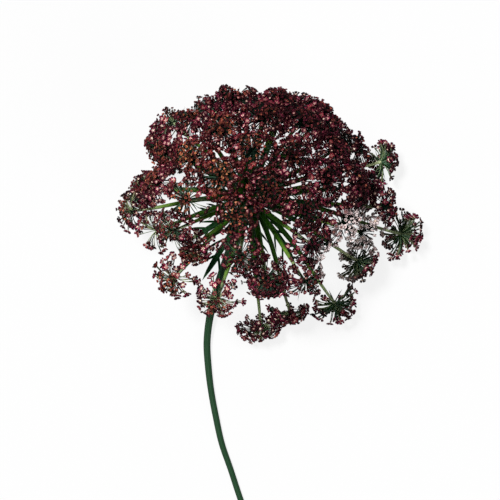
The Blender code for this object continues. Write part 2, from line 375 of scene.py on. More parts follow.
# %% A group that makes blotches
def build_blotches():
    """Noise in the object's own space, pulled to a mask of soft blotches from Low to High."""
    group = bpy.data.node_groups.new("blotches", "ShaderNodeTree")
    for name, way in (("Size", "INPUT"), ("Low", "INPUT"), ("High", "INPUT"), ("Mask", "OUTPUT")):
        group.interface.new_socket(name, in_out=way, socket_type="NodeSocketFloat")
    given = group.nodes.new("NodeGroupInput").outputs
    place = added(group, "TexCoord").outputs["Object"]
    noise = added(group, "TexNoise", {"Vector": place, "Scale": given["Size"], "Detail": 3})
    spread = added(group, "MapRange", {
        "Value": noise.outputs["Fac"], "From Min": 0.3, "From Max": 0.7,
        "To Min": given["Low"], "To Max": given["High"],
    })
    fill(group, group.nodes.new("NodeGroupOutput"), {"Mask": spread.outputs["Result"]})
    return group


BLOTCHES = build_blotches()


# %% Helpers for finishes
def new_finish(name, look, roughness, specular):
    """A Principled finish with these constant values, and then the inputs that its look gives."""
    finish = bpy.data.materials.new(name)
    finish.use_nodes = True
    tree = finish.node_tree
    shader = tree.nodes["Principled BSDF"]
    fill(tree, shader, {"Roughness": roughness, "Specular IOR Level": specular})
    fill(tree, shader, look(tree))
    return finish


def blotch(tree, per_metre, low, high):
    """The blotch group with its own size and range; its mask."""
    inputs = {"Size": per_metre, "Low": low, "High": high}
    return added(tree, "Group", inputs, node_tree=BLOTCHES).outputs["Mask"]


def relief(tree, per_metre, strength, depth):
    """A normal bumped as if blotches stood up by this depth."""
    inputs = {"Height": blotch(tree, per_metre, 0, 1), "Strength": strength, "Distance": depth}
    return added(tree, "Bump", inputs).outputs["Normal"]


def ramp(tree, key, *stops):
    """Colours at stops (place, red, green, blue) along a number that the points carry."""
    node = added(tree, "ValToRGB", {"Fac": key})
    bar = node.color_ramp
    while len(bar.elements) < len(stops):
        bar.elements.new(0.5)
    for element, (place, *colour) in zip(bar.elements, stops):
        element.position = place
        element.color = (*colour, 1)
    return node.outputs["Color"]


def blend(tree, amount, first, second, kind="MIX"):
    """Two colours blended by an amount. Sockets 6, 7 and 2 of the node are its colours."""
    inputs = {"Factor": amount, 6: first, 7: second}
    return added(tree, "Mix", inputs, data_type="RGBA", blend_type=kind).outputs[2]


# %% Petals, from pale throat to dark rim
def petal_look(tree):
    """Along the petal from throat to tip, in one of three ramps: wine, the warmer one of young
    florets, or the pale-throated one. Then its dark margin, the plain colour of the buds, this
    floret's shade, which is random and lighter at the lower left of the head as painted side
    light, blotches, and last the near-white of the bleached ones."""
    wine = ramp(
        tree, "along", (0.0, 0.20, 0.09, 0.07), (0.25, 0.17, 0.030, 0.040),
        (0.50, 0.105, 0.011, 0.024), (0.75, 0.040, 0.003, 0.010), (1.0, 0.085, 0.009, 0.022),
    )
    warm = ramp(
        tree, "along", (0.0, 0.22, 0.12, 0.05), (0.25, 0.23, 0.060, 0.030),
        (0.50, 0.17, 0.020, 0.014), (0.75, 0.07, 0.006, 0.005), (1.0, 0.13, 0.015, 0.011),
    )
    faded = ramp(
        tree, "along", (0.0, 0.74, 0.62, 0.46), (0.30, 0.72, 0.46, 0.42),
        (0.44, 0.25, 0.038, 0.072), (0.60, 0.062, 0.005, 0.018), (1.0, 0.10, 0.009, 0.030),
    )
    bud = ramp(
        tree, "warm", (0.0, 0.045, 0.006, 0.013), (0.35, 0.13, 0.030, 0.025),
        (0.65, 0.27, 0.085, 0.040), (1.0, 0.48, 0.24, 0.10),
    )
    shade = ramp(
        tree, "shade", (0.0, 0.05, 0.04, 0.06), (0.5, 0.6, 0.55, 0.6), (1.0, 2.5, 2.3, 2.4)
    )
    margin = added(tree, "MapRange", {"Value": "across", "From Min": 0.4, "To Max": 0.7})
    colour = blend(tree, "warm", wine, warm)
    colour = blend(tree, "pale", colour, faded)
    colour = blend(tree, margin.outputs["Result"], colour, (0.03, 0.002, 0.008))
    colour = blend(tree, "bud", colour, bud)
    colour = blend(tree, 1.0, colour, shade, "MULTIPLY")
    colour = blend(tree, blotch(tree, 900, 0.0, 0.35), colour, (0.03, 0.003, 0.006))
    return {
        "Base Color": blend(tree, "faded", colour, (0.95, 0.80, 0.78)),
        "Roughness": blotch(tree, 1500, 0.38, 0.62),
        "Normal": relief(tree, 3000, 0.25, 0.1 * MM),
    }


# %% Middles of the florets, stalks, bracts and the stem
def middle_look(tree):
    """From the dark middles of most florets up to the creamy ones of the palest."""
    colour = ramp(
        tree, "shade", (0.0, 0.06, 0.015, 0.012), (0.25, 0.20, 0.08, 0.06),
        (0.6, 0.50, 0.30, 0.24), (1.0, 0.82, 0.72, 0.56),
    )
    return {"Base Color": blend(tree, blotch(tree, 2200, 0.0, 0.4), colour, (0.30, 0.10, 0.08))}


def stalk_look(tree):
    """A ray runs from deep green at its foot (0), partly painted shade under the crown, to pale at
    its knob (0.6), and a floret stalk from there to its wine-red pod (1). The shade, from
    blue-black to
    light, multiplies it: for floret stalks and bractlets it is partly painted shade deep in the
    crown and painted side light at the lower left of the head."""
    # the deep green of a ray's foot (0 to 0.3) is partly its own colour and partly painted shade
    # under the crown
    colour = ramp(
        tree, "along", (0.0, 0.002, 0.014, 0.001), (0.15, 0.017, 0.075, 0.003),
        (0.30, 0.038, 0.115, 0.006), (0.43, 0.13, 0.22, 0.03), (0.54, 0.44, 0.49, 0.24),
        (0.72, 0.27, 0.33, 0.14), (0.85, 0.24, 0.26, 0.13), (1.0, 0.08, 0.025, 0.018),
    )
    colour = blend(tree, blotch(tree, 500, 0.0, 0.5), colour, (0.008, 0.022, 0.004))
    shade = ramp(
        tree, "shade", (0.0, 0.006, 0.02, 0.03), (0.25, 0.07, 0.14, 0.19),
        (0.4, 0.28, 0.46, 0.66), (0.55, 0.7, 0.78, 0.85), (1.0, 1.9, 1.8, 2.1),
    )
    colour = blend(tree, 1.0, colour, shade, "MULTIPLY")
    return {"Base Color": colour, "Roughness": blotch(tree, 900, 0.4, 0.65)}


def bract_look(tree):
    """Dark green, and bluer towards the tips."""
    colour = ramp(
        tree, "along", (0.0, 0.012, 0.055, 0.008), (0.3, 0.006, 0.038, 0.008),
        (1.0, 0.006, 0.040, 0.013),
    )
    return {
        "Base Color": blend(tree, blotch(tree, 400, 0.0, 0.5), colour, (0.012, 0.065, 0.014)),
        "Roughness": blotch(tree, 700, 0.4, 0.62),
        "Normal": relief(tree, 2500, 0.2, 0.1 * MM),
    }


def stem_look(tree):
    """A pale cut end, then dark blue-green that turns yellower on the dome, lighter on the ribs."""
    colour = ramp(
        tree, "along", (0.0, 0.30, 0.36, 0.16), (0.004, 0.009, 0.032, 0.013),
        (0.6, 0.0075, 0.029, 0.011), (0.85, 0.010, 0.036, 0.009), (1.0, 0.02, 0.06, 0.012),
    )
    colour = blend(tree, "shade", colour, (0.022, 0.058, 0.027))
    return {
        "Base Color": blend(tree, blotch(tree, 250, 0.0, 0.45), colour, (0.008, 0.028, 0.012)),
        "Roughness": blotch(tree, 800, 0.36, 0.55),
        "Normal": relief(tree, 1500, 0.15, 0.2 * MM),
    }


PETAL = new_finish("petal_wine", petal_look, 0.55, 0.05)
MIDDLE = new_finish("floret_centre", middle_look, 0.45, 0.4)
STALK = new_finish("ray_green", stalk_look, 0.5, 0.05)
BRACT = new_finish("bract_green", bract_look, 0.5, 0.05)
STEM = new_finish("stem_green", stem_look, 0.42, 0.06)
print("finishes:", [finish.name for finish in (PETAL, MIDDLE, STALK, BRACT, STEM)])

# %% [markdown]
# ## The stem and the receptacle
#
# The stalk is one grown piece with the dome that the rays stand on. A curve object with a bevel
# could make the stalk, but not the dome and the fine ribs. So it is a profile carried along the
# stem's route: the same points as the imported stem, on a smooth curve through them, with
# shallow ribs that fade out on the dome. The cut end shows a pale, slightly sunken pith.

# %% Route of the stem
STEM_ROUTE = np.array([  # x and y from the receptacle, height of the centre, radius, in mm
    (6.5, -151.0, 1.25, 1.25), (2.0, -140.0, 1.25, 1.25), (-3.4, -127.0, 1.3, 1.3),
    (-8.2, -112.6, 1.3, 1.3), (-11.9, -101.8, 1.35, 1.35), (-14.3, -91.0, 1.4, 1.4),
    (-16.3, -80.2, 1.4, 1.4), (-17.6, -69.4, 1.55, 1.5), (-18.1, -58.5, 2.3, 1.55),
    (-16.6, -47.0, 4.9, 1.65), (-13.6, -36.5, 9.0, 1.95), (-9.9, -26.0, 15.2, 2.25),
    (-5.6, -15.0, 22.8, 2.45),
])


def smooth_route(points, steps):
    """Catmull-Rom curve: between b and c, with a before and d after, it is
    b + t/2 (c - a + t (2a - 5b + 4c - d + t (3(b - c) + d - a)))."""
    ends = np.vstack([2 * points[0] - points[1], points, 2 * points[-1] - points[-2]])
    a, b, c, d = (ends[k : len(ends) - 3 + k, None] for k in range(4))
    t = np.linspace(0, 1, steps, endpoint=False)[None, :, None]
    spans = b + 0.5 * t * (c - a + t * (2 * a - 5 * b + 4 * c - d + t * (3 * (b - c) + d - a)))
    return np.vstack([spans.reshape(-1, points.shape[1]), points[-1:]])


NECK_DROP, NECK_RADIUS = 1.9, 2.4  # in receptacle radii below its middle, and in mm
DOME_FROM, DOME_TO, DOME_RINGS = -55, 84, 14  # degrees below and above the receptacle's waist
ROUTE_STEPS = 8

neck = np.append((-NECK_DROP * HUB_RADIUS * HEAD_AXIS + [0, 0, HUB[2]]) / MM, NECK_RADIUS)
dome_turn = np.radians(np.linspace(DOME_FROM, DOME_TO, DOME_RINGS))
dome = (np.sin(dome_turn)[:, None] * HUB_RADIUS * HEAD_AXIS + [0, 0, HUB[2]]) / MM
dome = np.column_stack([dome, np.cos(dome_turn) * HUB_RADIUS / MM])
route = smooth_route(np.vstack([STEM_ROUTE, neck, dome[0]]), ROUTE_STEPS)
route = np.vstack([route[:-1], dome])
stem_path = route[:, :3] * MM + [HUB[0], HUB[1], 0]
print("stem points:", len(stem_path))


# %% Skin of the stem
RIB_DEPTH = 0.028  # as a share of the radius
RIB_END, RIB_FADE = 0.93, 0.1  # shares of the stem's length: where ribs end, and the fade to there
CUT_WIDTHS = np.array([0.55, 0.9, 0.97])  # the rings of the cut end: share of the radius, and
CUT_DEPTHS = np.array([0.35, 0.05, -0.04])  # how far each is sunk, in mm
CUT_ALONG = [0, 0, 0.002]  # where each takes its colour; the skin's own colours start at SKIN_ALONG
SKIN_ALONG = 0.004
PITH_DEPTH = 0.4 * MM


def stem_skin(path, radius, sides=40, ribs=10):
    """Radius x (1 + rib depth x (cos(ribs x turn) - 1)): ribs that fade out towards the dome. At
    the cut the first rings close in to a sunken middle."""
    forward = unit(np.gradient(path, axis=0))
    across = np.empty_like(path)
    side = unit(np.cross(forward[0], [0.31, 0.2, 0.93]))
    for k, ahead in enumerate(forward):
        side = unit(side - (side @ ahead) * ahead)
        across[k] = side
    other, turn = np.cross(forward, across), turns(sides)
    travel = np.concatenate([[0], np.cumsum(np.linalg.norm(np.diff(path, axis=0), axis=1))])
    travel /= travel[-1]
    ribbed = np.clip((RIB_END - travel) / RIB_FADE, 0, 1)[:, None]
    rib = RIB_DEPTH * ribbed * (np.cos(ribs * turn) - 1)
    reach = (radius[:, None] * (1 + rib))[..., None]
    rings = path[:, None] + reach * around(turn, across[:, None], other[:, None])
    cut = path[0] + CUT_WIDTHS[:, None, None] * (rings[0] - path[0])
    cut += CUT_DEPTHS[:, None, None] * MM * forward[0]
    rings = np.concatenate([cut, rings])
    rings[..., 2] = np.maximum(rings[..., 2], 0)
    ends = np.stack([path[0] + PITH_DEPTH * forward[0], path[-1] + 0.3 * radius[-1] * forward[-1]])
    points, quads, tris = closed_skins(rings[None], ends[None])
    along = np.concatenate([[0], CUT_ALONG, np.maximum(travel, SKIN_ALONG), [1]])
    light = (0.5 + 0.5 * np.cos(ribs * turn)) * 0.8
    values = {
        "along": ring_values(along[None], sides),
        "shade": np.append(np.tile(light, len(rings)), [0, 0.5]),
    }
    return points, quads, tris, values


stem = piece("stem_skin", [stem_skin(stem_path, route[:, 3] * MM)], STEM, "stem_green", "stem")
print("stem faces:", len(stem.data.polygons))

# %% [markdown]
# ## Bracts
#
# Under the rays stands a whorl of bracts, dark leaves cut into narrow, pointed lobes. Each lobe is
# a thin blade: a flat ellipse carried along a gently bent path and drawn out to a point. The side
# lobes spring from the middle one in pairs and curve forward, the way that carrot leaves divide.

# %% Blades of a bract
BRACTS = (  # clock angle, length in mm, and how far each droops from its seat to its tip
    (12, 24, 20), (62, 24, 6), (122, 26, 0), (181, 23, 12),
    (208, 26, -6), (237, 33, 0), (282, 28, 24), (318, 30, 14),
)
BRACT_SEAT = math.radians(118)
BLADE_HALF, LOBE_HALF = 0.95 * MM, 0.532 * MM  # half widths that the next two tables scale
BLADE_WIDTHS = ([0, 0.1, 0.45, 0.7, 0.88, 1], [1.1, 0.9, 1.25, 1.3, 0.8, 0.02])  # along, share
LOBE_WIDTHS = ([0, 0.15, 0.6, 1], [0.7, 1.0, 0.8, 0.03])
HALF_THICKNESS = 0.252 * MM
LOBE_BASES = (0.22, 0.40, 0.60)  # where the pairs of lobes spring, as shares of the length
LOBE_LENGTH = 0.34
LOBE_SPREAD = math.radians(32)


def bract_skin(clock, length, droop, rng):
    """A middle blade with three pairs of lobes. Along the blade the direction turns down evenly; a
    lobe leaves at an angle and bends forward as the square of the way along it."""
    length, droop = length * MM, math.radians(droop)
    turn = math.radians(clock) - HEAD_CLOCK + math.pi / 2
    side = np.cross(HEAD_AXIS, about_head(turn, math.pi / 2))
    foot = (HUB_RADIUS + 0.1 * MM) * about_head(turn, BRACT_SEAT)

    def place(along, across):
        """So far along the drooping middle line, and so far to its side."""
        ahead = about_head(turn, BRACT_SEAT + droop * along / length)
        return HUB + foot + along[..., None] * ahead + across[..., None] * side

    t = np.linspace(0, 1, 15)
    sway = 0.012 * length * np.sin(3.2 * t + rng.uniform(0, 6))
    paths, wide = [place(t * length, sway * t)], [BLADE_HALF * np.interp(t, *BLADE_WIDTHS)]
    for base in LOBE_BASES:
        for sign in (-1, 1):
            reach = LOBE_LENGTH * length * rng.uniform(0.85, 1.05)
            out = reach * math.sin(LOBE_SPREAD) * (1.35 * t - 0.35 * t**2)
            start = base * length * rng.uniform(0.94, 1.06)
            paths.append(place(start + reach * math.cos(LOBE_SPREAD) * t, sign * out))
            wide.append(LOBE_HALF * np.interp(t, *LOBE_WIDTHS))
    paths, wide = np.array(paths), np.array(wide)
    thick = np.minimum(HALF_THICKNESS, wide * 0.8)
    along = np.repeat(np.clip(t, t[1], t[-2])[None], len(paths), axis=0)
    along[1:] = 0.3 + 0.7 * along[1:]
    return tubes(paths, wide, thick, side, 8, along)


rng = np.random.default_rng(7)
for number, (clock, length, droop) in enumerate(BRACTS, 1):
    name = f"bract_{number:02d}"
    skin = bract_skin(clock, length, droop, rng)
    made = piece(f"{name}_blade", [skin], BRACT, "bract_green", name)
print("bract faces each:", len(made.data.polygons))

# %% [markdown]
# ## How an umbellet grows
#
# From the ray's tip a tuft of stalks spreads like the ribs of an open umbrella, the outer ones
# longer and bent right over, so that their florets form a low cushion. Seeds in a sunflower sit
# at equal steps of the golden angle, each a little further out than the last, and florets crowd
# in the same even way. A little chance keeps it from looking drawn. The rim's umbellets
# are the oldest: their outer florets are wide open. Towards the middle of the head, and towards
# the middle of each umbellet, they are younger, smaller and closer.

# %% Places of the florets
GOLDEN_ANGLE = math.pi * (3 - math.sqrt(5))


def sides_of(axes):
    """Two unit vectors square to each axis and to each other."""
    helper = np.where(np.abs(axes[..., 2:]) < 0.9, [0.0, 0.0, 1.0], [1.0, 0.0, 0.0])
    first = unit(np.cross(helper, axes))
    return first, np.cross(axes, first)


def floret_places(tip, face, radius, florets, spread, reach, uneven, rng):
    """Where each floret sits, the direction its stalk starts in, its axis and its order from the
    middle (0) to the edge (1). Two in five stand within 50 degrees of the face and the rest within
    the angle spread, both as the root of the order. The stalks grow from 0.6 to `reach` times the
    radius, and those that bend right back are a little shorter."""
    k = np.arange(florets)
    order = (k + 0.4) / florets
    polar = np.radians(np.interp(order**0.5, [0, 0.63, 1], [0, 50, spread]))
    polar += rng.normal(0, 0.07, florets)
    turn = k * GOLDEN_ANGLE + rng.normal(0, 0.18, florets) + rng.uniform(0, 6)
    lengths = [0.6, 0.5 * (0.6 + reach), reach, 0.93 * reach]
    length = radius * np.interp(order, [0, 0.5, 0.85, 1], lengths)
    length *= 1 + uneven * rng.uniform(-1, 0.7, florets)
    way = around(polar, face, around(turn, *sides_of(face)))
    place = tip + length[:, None] * way
    start = unit(way + 0.6 * face)
    axis = unit(way + 0.25 * face + rng.normal(0, 0.24, (florets, 3)))
    return place, start, axis, order


# %% [markdown]
# ## Stalks
#
# The ray, the floret stalks and the bractlets share one green finish. A ray is a cubic curve that
# leaves the dome at a right angle and arrives square to its umbellet, where it widens into a
# little knob. A floret stalk is a quadratic curve that swells into the floret's seed pod. The
# bractlets are thin pointed blades that stick out between the stalks.


# %% Rays
RAY_ALONG = np.array([0, 0.004, 0.03, 0.1, 0.2, 0.35, 0.5, 0.65, 0.8, 0.92, 0.975, 1])
RAY_WIDTH = np.array([0, 0.9, 0.85, 0.95, 1.0, 0.94, 0.85, 0.74, 0.63, 0.55, 0.6, 0.72, 0.6, 0])
RAY_SIDES = 10
RAY_ROOT = 0.4 * MM  # how deep its foot goes into the dome
KNOB = (0.25 * MM, 0.4 * MM)  # the last two points, past the tip
STALK_FROM = 0.6  # the finish's share of the way at which a ray ends and the floret stalks start


def ray_part(number, thickness, shade):
    """A tube along (1-t)^3 foot + 3 (1-t)^2 t first + 3 (1-t) t^2 second + t^3 tip, flared where it
    grows on the dome, with a knob at the tip."""
    seat, face = SEATS[number], FACES[number]
    foot, tip = HUB + seat * (HUB_RADIUS - RAY_ROOT), HUB + TIPS[number]
    hold = RAY_BEND * np.linalg.norm(tip - (HUB + FEET[number]))
    first, second, t = foot + hold * seat, tip - hold * face, RAY_ALONG[:, None]
    path = (1 - t) ** 3 * foot + 3 * (1 - t) ** 2 * t * first
    path = path + 3 * (1 - t) * t**2 * second + t**3 * tip
    path = np.vstack([path] + [path[-1] + past * face for past in KNOB])[None]
    width = RAY_WIDTH[None] * thickness
    along = np.append(STALK_FROM * RAY_ALONG, [STALK_FROM, STALK_FROM])
    return tubes(path, width, width, sides_of(seat)[0], RAY_SIDES, along, shade=[shade])


# %% Floret stalks and bractlets
STALK_ALONG = np.array([0, 0.06, 0.36, 0.68, 0.94, 1.0])[None, :, None]
STALK_WIDTH = np.array([[0, 0.175, 0.13, 0.15, 0.30, 0]]) * MM
STALK_COLOUR = [0.60, 0.60, 0.67, 0.78, 0.95, 0.95]  # the finish's share of the way, at each
STALK_SIDES = 3
BRACTLET_ALONG = np.array([0, 0.05, 0.25, 0.5, 0.75, 0.93, 1])[None, :, None]
BRACTLET_WIDTH = np.array([[0, 0.26, 0.28, 0.24, 0.16, 0.06, 0]]) * MM
BRACTLET_COLOUR = [0.5, 0.5, 0.4, 0.3, 0.25, 0.25, 0.25]
# the bractlets' shade of 0.3 is painted shade: they sit deep among the stalks, under the florets
BRACTLET_SIDES, BRACTLET_PAINTED_SHADE = 4, 0.3
TABLE_CLEARANCE = 0.3 * MM


def floret_stalk_part(tip, face, place, start, light, stout):
    """Tubes along (1-t)^2 foot + 2 t (1-t) bend + t^2 place, that swell into the seed pod. The
    bend lies halfway up, in the direction that the stalk starts in."""
    t = STALK_ALONG
    foot = np.repeat((tip + 0.1 * MM * face)[None], len(place), axis=0)[:, None]
    bend = foot[:, 0] + 0.55 * np.linalg.norm(place - tip, axis=1)[:, None] * start
    path = (1 - t) ** 2 * foot + 2 * t * (1 - t) * bend[:, None] + t**2 * place[:, None]
    width = STALK_WIDTH * stout
    side = sides_of(unit(place - tip))[0][:, None]
    return tubes(path, width, width, side, STALK_SIDES, STALK_COLOUR, shade=light)


def bractlet_part(tip, face, radius, rng, count=7):
    """Thin blades that leave the knob sideways, lift a little, and end in a point."""
    out = around(turns(count) + rng.uniform(-0.3, 0.3, count), *sides_of(face))
    length = radius * rng.uniform(0.7, 1.0, count)[:, None, None]
    lift = rng.uniform(-0.1, 0.35, count)[:, None, None]
    t = BRACTLET_ALONG
    path = tip + length * (t * out[:, None] + lift * t**2 * face)
    path[..., 2] = np.maximum(path[..., 2], TABLE_CLEARANCE)
    wide, side, shade = BRACTLET_WIDTH, np.cross(face, out)[:, None], np.full(count, BRACTLET_PAINTED_SHADE)
    return tubes(path, wide, 0.35 * wide, side, BRACTLET_SIDES, BRACTLET_COLOUR, shade=shade)


# %% [markdown]
# ## Petals and middles
#
# A petal is about a millimetre across, and the head has over thirty thousand. So each has only a
# dozen or two faces, the most on the rim, where they show. Its form is a lobe whose sides are
# cupped and whose notched tip curls back over the middle. It is one formula: a flat, cupped
# ellipse carried along an arc. Turning the arc further closes the floret, so the same formula
# makes the open outer florets and the tight buds inside. The florets' middles are small domes.


# %% Petals
# share along, half width and half thickness per floret radius, of each ring
LARGE_PETAL = np.array([
    [0.15, 0.14, 0.07], [0.42, 0.26, 0.10], [0.70, 0.35, 0.11], [0.95, 0.25, 0.07]
])
SMALL_PETAL = np.array([[0.28, 0.26, 0.10], [0.86, 0.36, 0.09]])
BUD_PETAL = np.array([[0.28, 0.31, 0.12], [0.80, 0.31, 0.11]])
PETAL_SIDES = 4
PETAL_FOOT = (0.13, 0.02)  # out from the floret's axis and up, per floret radius
PETAL_LENGTH = 0.85
NOTCH = 0.88  # the end point's share along, short of the last ring
CUP = 0.35  # how far the sides are lifted, per half width


def petal_part(place, axis, size, tilt, curl, numbers, form, rng):
    """Five petals on each floret. A petal's middle line starts at the angle tilt above level and
    turns up by the angle curl: out = length (sin(tilt + curl u) - sin tilt) / curl, and
    up = length (cos tilt - cos(tilt + curl u)) / curl. The sides are lifted as the square of
    the way across, and the tip is pulled in to a notch."""
    florets = len(place)
    one, two = sides_of(axis)
    spin = rng.uniform(0, 2 * math.pi, florets)[:, None] + turns(5)
    spin += rng.uniform(-0.14, 0.14, spin.shape)
    out = around(spin, one[:, None], two[:, None])
    side = np.cross(axis[:, None], out)
    size = (size[:, None] * rng.uniform(0.88, 1.10, (florets, 5)))[..., None]
    tilt = (tilt[:, None] + rng.uniform(-0.12, 0.12, (florets, 5)))[..., None]
    curl = (curl[:, None] * rng.uniform(0.8, 1.2, (florets, 5)))[..., None]

    def middle_line(u):
        """Points at the shares u along each petal (florets, petals, shares, 3)."""
        out_share = (np.sin(tilt + curl * u) - np.sin(tilt)) / curl
        up_share = (np.cos(tilt) - np.cos(tilt + curl * u)) / curl
        reach = size * (PETAL_FOOT[0] + PETAL_LENGTH * out_share)
        rise = size * (PETAL_FOOT[1] + PETAL_LENGTH * up_share)
        return place[:, None, None] + reach[..., None] * out[:, :, None] + rise[..., None] * up

    u, wide, thick = form.T
    up = axis[:, None, None]
    normal = around(tilt + curl * u, up, -out[:, :, None])
    half, thick = size * wide, size * thick
    turn = turns(PETAL_SIDES)
    cup = CUP * half[..., None] * np.cos(turn) ** 2
    rings = (
        middle_line(u)[..., None, :]
        + (half[..., None] * np.cos(turn))[..., None] * side[:, :, None, None]
        + (thick[..., None] * np.sin(turn) + cup)[..., None] * normal[..., None, :]
    )
    rings = rings.reshape(florets * 5, len(u), PETAL_SIDES, 3)
    ends = middle_line(np.array([0.0, NOTCH])).reshape(-1, 2, 3)
    points, quads, tris = closed_skins(rings, ends)
    along = ring_values(np.array([[0, *u, 0.8]]), PETAL_SIDES)
    across = np.append(np.tile(np.abs(np.cos(turn)), len(u)), [0, 0.5])
    values = {key: np.repeat(each, len(points) // florets) for key, each in numbers.items()}
    values["along"], values["across"] = (np.tile(each, florets * 5) for each in (along, across))
    return points, quads, tris, values


MIDDLE_RISE = np.array([-0.05, 0.05, 0.24, 0.33])  # height and radius per floret radius
MIDDLE_WIDTH = np.array([0, 0.32, 0.24, 0])
MIDDLE_SIDES = 5


def middle_part(place, axis, size, shade):
    """Low domes on the florets: two rings about the floret's axis, closed below and above."""
    one, _ = sides_of(axis)
    path = place[:, None] + (size[:, None] * MIDDLE_RISE)[..., None] * axis[:, None]
    width = size[:, None] * MIDDLE_WIDTH
    return tubes(path, width, width, one[:, None], MIDDLE_SIDES, shade=shade)


# %% [markdown]
# ## No two umbellets alike
#
# The flower is not even all round. Some umbellets are fuller, some tufts lean, four at the right
# are seen from behind, and there are gaps where one looks through to the rays and the table. At
# the right a few florets are bleached nearly white. These tables say where, and the functions
# after them turn a place on the head into age, warmth and painted side light, which is lighter
# at the head's lower left.

# %% Differences between the umbellets, and between the parts of the head
FULLNESS = {  # share of the usual number of florets
    1: 0.8, 2: 1.3, 3: 0.75, 4: 1.2, 7: 1.35, 8: 1.4, 9: 1.3, 10: 1.4, 11: 1.4, 13: 1.6, 22: 0.85,
    23: 1.3, 25: 1.5, 34: 1.1, 35: 0.65, 36: 1.15, 43: 0.85, 44: 1.1, 45: 0.6, 46: 1.2, 51: 0.9,
}
TURNED = {  # what is added to the direction that the umbellet faces
    2: (-0.4, 0.6, 0), 4: (0, -0.9, 0), 7: (0.15, 0, 0.45), 8: (-0.1, -0.1, 0.3),
    9: (-0.4, 0.1, -0.2), 10: (-0.2, 0, -0.3), 11: (-0.4, 0, -0.25), 13: (0.1, -0.3, -0.25),
    23: (-0.3, -1.0, 0), 25: (0, -0.3, 0), 43: (0.1, 0.3, 0), 44: (0, 0.3, 0),
    46: (-0.8, 1.0, 0), 47: (-0.7, -0.8, 0), 48: (0, -0.4, 0), 51: (0, -0.3, 0),
}
FROM_BEHIND = (9, 10, 11, 13)
OPENINGS = np.array([  # middle and half width of each gap, in mm, seen from above
    (-26.5, 39.0, 4.4, 3.6), (-22.5, 41.4, 2.4, 2.4), (-4.0, 47.5, 5.6, 3.6),
    (36.2, 35.4, 3.2, 2.4), (42.2, 29.0, 2.6, 2.8), (49.0, 23.7, 3.2, 2.4),
    (54.5, 10.5, 1.8, 3.0), (-33.0, -1.6, 4.8, 2.4), (-28.4, 10.0, 2.2, 3.2),
    (-21.0, -2.4, 3.0, 3.8), (-14.0, -11.3, 3.6, 2.4), (-13.3, -24.0, 2.2, 5.0),
    (-40.2, -13.7, 2.8, 2.8), (-30.5, -18.0, 3.4, 2.4), (37.0, -17.5, 2.2, 1.8),
    (32.2, -35.4, 5.2, 4.0), (19.3, -40.0, 7.0, 3.0), (13.3, -43.0, 2.4, 2.2),
    (-3.2, -37.0, 3.6, 4.0), (-24.0, -34.6, 3.2, 3.0), (31.4, -47.5, 2.4, 2.2),
    (52.3, -10.5, 2.2, 2.2), (7.2, 21.3, 1.9, 4.0), (35.4, 6.0, 1.2, 2.0), (20.1, 30.2, 1.4, 1.8),
    (-41.8, 27.4, 2.4, 2.0), (1.2, 18.5, 1.2, 3.2), (-16.0, 9.5, 2.6, 1.2),
])
BLEACHED = ((44.5, -13.5, 7.0), (35.0, -25.0, 6.0))  # middle and radius, seen from above
EYE = HUB + np.array([0, -20.1, 704.0]) * MM  # where the camera stands


def age_of(number):
    """1 on the rim, and from 0.2 in the middle of the crown to 0.64 at its edge."""
    if number <= len(RIM):
        return 1.0
    return 0.2 + 0.44 * CROWN[number - len(RIM) - 1][1] / 38


def warmth_of(across, up):
    """How orange the buds are: from 0.05 up to 0.65 in the middle of a bell about the part of the
    head where the youngest lie, and a little higher again over the lower left of the rim."""
    young = math.exp(-((across + 13) ** 2 + (up - 8) ** 2) / 23**2)
    corner = math.exp(-((across + 34) ** 2 + (up + 30) ** 2) / 24**2)
    return 0.05 + 0.6 * young + 0.12 * corner


def painted_side_light_of(across, up):
    """Painted side light: how much lighter stalks, petals and throats are painted, 0.75 at the
    lower left of the head, down to 0.05 at its upper right."""
    return float(np.clip(0.40 - 0.011 * across - 0.007 * up, 0.05, 0.75))


def florets_of(number, age, up):
    """84 on the rim. In the crown 241 in the youngest umbellets down to 210 in the oldest, and
    fewer towards the stem: down to 0.66 of that."""
    usual = 84 if age == 1 else (255 - 70 * age) * np.clip(0.92 + 0.016 * up, 0.66, 1)
    return round(usual * FULLNESS.get(number, 1))


def seen_from_above(places):
    """Where a line from the eye through each place meets the level of the receptacle, in mm."""
    away = (EYE[2] - HUB[2]) / (EYE[2] - places[:, 2:])
    return ((places - EYE) * away + EYE - HUB)[:, :2] / MM


def bleach_of(seen):
    """How bleached florets are: 1 within the radius of a spot, and 0 from 1.6 times it."""
    spots = np.array(BLEACHED)
    away = np.linalg.norm(seen[:, None] - spots[:, :2], axis=2) / spots[:, 2]
    return np.clip((1.6 - away) / 0.6, 0, 1).max(axis=1)


def kept_of(seen, rng):
    """False for about every floret that would grow in a gap, and for half of the bleached ones."""
    inside = (((seen[:, None] - OPENINGS[:, :2]) / OPENINGS[:, 2:]) ** 2).sum(axis=2)
    kept = (inside > 1 + rng.normal(0, 0.25, (len(seen), 1))).all(axis=1)
    return kept & (rng.uniform(0, 1, len(seen)) > 0.5 * bleach_of(seen))


# %% Grow every umbellet
RIM_TUFT = (112, 1.0, 0.24)  # spread in degrees, reach and unevenness
CROWN_SPREAD, CROWN_TUFT_UNEVEN = 104, 0.16
OPENS_FROM, OPENS_OVER = 0.32, 0.2  # where in an umbellet's order the florets begin to open
FLORET_RADIUS, OLD_FLORET_MORE = 1.0 * MM, 0.82 * MM
PETAL_LIFT, PETAL_OVER_TABLE = 1.08, 0.05 * MM  # a floret's least height: radii, and a little more


def tuft_of(number, age):
    """Spread, reach and unevenness of a tuft. One seen from behind is narrower, so that its stalks
    show."""
    if age < 1:
        return CROWN_SPREAD, 0.98 + 0.16 * age, CROWN_TUFT_UNEVEN
    return (CROWN_SPREAD if number in FROM_BEHIND else RIM_TUFT[0], *RIM_TUFT[1:])


